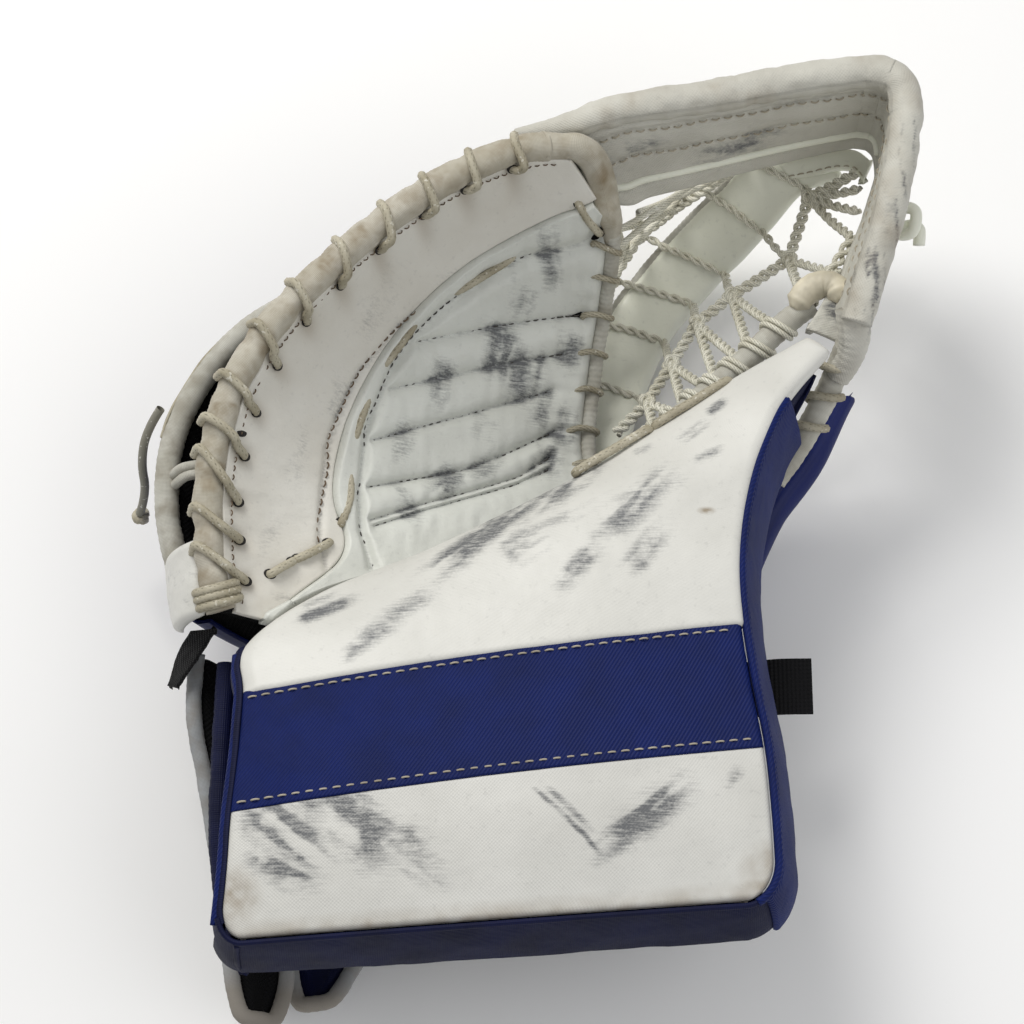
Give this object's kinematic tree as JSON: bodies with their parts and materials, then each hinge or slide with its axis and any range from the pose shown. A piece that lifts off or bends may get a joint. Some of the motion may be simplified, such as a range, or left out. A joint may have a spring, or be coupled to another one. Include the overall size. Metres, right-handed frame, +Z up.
{
  "type": "ice hockey goalie catch glove",
  "caption": "Goalkeeper's catch glove lying on its back: a padded thumb and cuff board, a dished finger shell laced to a backhand pad, and a netted pocket with a padded rim.",
  "frame": {"origin": "middle of the footprint, on the floor that the glove lies on", "axes": "+Z up out of the palm, +Y from the cuff's open end towards the fingertips, +X from the pinky side towards the thumb"},
  "size_m": [0.312, 0.354, 0.131],
  "materials": {
    "cuff_face_upper": "scuffed off-white leather",
    "cuff_band": "fine ribbed royal blue",
    "cuff_face_lower": "scuffed off-white leather",
    "cuff_foam": "dense foam",
    "cuff_lining": "nylon",
    "cuff_gusset_side": "ribbed blue",
    "cuff_gusset_end": "nylon",
    "cuff_welt": "piping",
    "thumb_pad": "royal blue leather",
    "thumb_stall": "knit mesh",
    "thumb_binding": "woven tape",
    "thumb_lacing": "waxed braid",
    "thumb_edge_roll": "rolled leather",
    "thumb_edge_lace": "waxed braid",
    "rim_thumb_wall": "padded leather",
    "rim_thumb_roll": "rolled leather",
    "rim_knot": "knotted leather",
    "wrist_liner": "knit mesh",
    "liner_binding": "tape",
    "wrist_strap": "webbing",
    "strap_loop": "moulded",
    "t_strap": "smooth leather",
    "t_strap_binding": "ribbed tape",
    "net_rungs": "waxed braid",
    "net_columns": "waxed braid",
    "break_leather": "smooth leather",
    "rim_corner_wall": "padded leather",
    "rim_corner_roll": "rolled leather",
    "finger_face": "creased leather",
    "palm_face": "quilted leather",
    "finger_foam": "dense foam",
    "palm_lining": "knit",
    "finger_binding": "woven tape",
    "finger_lacing": "waxed braid",
    "palm_lacing": "waxed braid",
    "palm_edge_binding": "tape",
    "rim_finger_wall": "padded leather",
    "rim_finger_roll": "rolled leather",
    "backhand_pad": "dense foam",
    "backhand_cover": "royal blue leather",
    "backhand_binding": "tape",
    "knuckle_plate": "moulded",
    "finger_stalls": "knit mesh",
    "side_keeper": "stitched leather",
    "lace_tail": "waxed braid",
    "lace_tail_knot": "knot",
    "wrist_flap_outer": "knit mesh over foam",
    "wrist_flap_back": "knit mesh over foam",
    "flap_bindings": "tape",
    "wrist_strap_tail": "webbing",
    "hook_tab": "hook fabric"
  },
  "bodies": {
    "thumb_cuff": {"cuff_face_upper": "cuff_face_upper", "cuff_band": "cuff_band", "cuff_face_lower": "cuff_face_lower", "cuff_foam": "cuff_foam", "cuff_lining": "cuff_lining", "cuff_gusset_side": "cuff_gusset_side", "cuff_gusset_end": "cuff_gusset_end", "cuff_welt": "cuff_welt", "thumb_pad": "thumb_pad", "thumb_stall": "thumb_stall", "thumb_binding": "thumb_binding", "thumb_lacing": "thumb_lacing", "thumb_edge_roll": "thumb_edge_roll", "thumb_edge_lace": "thumb_edge_lace", "rim_thumb_wall": "rim_thumb_wall", "rim_thumb_roll": "rim_thumb_roll", "rim_knot": "rim_knot", "wrist_liner": "wrist_liner", "liner_binding": "liner_binding", "wrist_strap": "wrist_strap", "strap_loop": "strap_loop"},
    "pocket_spine": {"t_strap": "t_strap", "t_strap_binding": "t_strap_binding", "net_rungs": "net_rungs", "net_columns": "net_columns", "break_leather": "break_leather", "rim_corner_wall": "rim_corner_wall", "rim_corner_roll": "rim_corner_roll"},
    "fingers": {"finger_face": "finger_face", "palm_face": "palm_face", "finger_foam": "finger_foam", "palm_lining": "palm_lining", "finger_binding": "finger_binding", "finger_lacing": "finger_lacing", "palm_lacing": "palm_lacing", "palm_edge_binding": "palm_edge_binding", "rim_finger_wall": "rim_finger_wall", "rim_finger_roll": "rim_finger_roll", "backhand_pad": "backhand_pad", "backhand_cover": "backhand_cover", "backhand_binding": "backhand_binding", "knuckle_plate": "knuckle_plate", "finger_stalls": "finger_stalls", "side_keeper": "side_keeper", "lace_tail": "lace_tail", "lace_tail_knot": "lace_tail_knot"},
    "wrist_wrap": {"wrist_flap_outer": "wrist_flap_outer", "wrist_flap_back": "wrist_flap_back", "flap_bindings": "flap_bindings"},
    "strap_tail": {"wrist_strap_tail": "wrist_strap_tail"},
    "hook_tab_body": {"hook_tab": "hook_tab"}
  },
  "joints": [
    {"name": "pocket_fold", "type": "hinge", "parent": "thumb_cuff", "child": "pocket_spine", "pos_m": [-0.1148, -0.04795, 0.095], "axis": [0.7549, 0.6522, 0.0694], "range_deg": [0, 15], "stiffness_Nm_per_rad": 10},
    {"name": "finger_fold", "type": "hinge", "parent": "pocket_spine", "child": "fingers", "pos_m": [-0.1148, -0.04795, 0.095], "axis": [0.7549, 0.6522, 0.0694], "range_deg": [0, 15], "stiffness_Nm_per_rad": 10},
    {"name": "wrist_wrap_open", "type": "hinge", "parent": "thumb_cuff", "child": "wrist_wrap", "pos_m": [-0.0748, -0.04395, 0.028], "axis": [1, 0, 0], "range_deg": [-4, 16], "stiffness_Nm_per_rad": 2},
    {"name": "strap_tail_bend", "type": "hinge", "parent": "thumb_cuff", "child": "strap_tail", "pos_m": [0.0692, -0.05795, 0.055], "axis": [0, 1, 0], "range_deg": [-40, 30], "stiffness_Nm_per_rad": 0.3},
    {"name": "hook_tab_peel", "type": "hinge", "parent": "thumb_cuff", "child": "hook_tab_body", "pos_m": [-0.1278, -0.03795, 0.072], "axis": [0.5524, 0.8336, 0], "range_deg": [-10, 30], "stiffness_Nm_per_rad": 0.2}
  ],
  "couplings": [
    {"joint": "finger_fold", "follows": "pocket_fold", "ratio": 1}
  ]
}
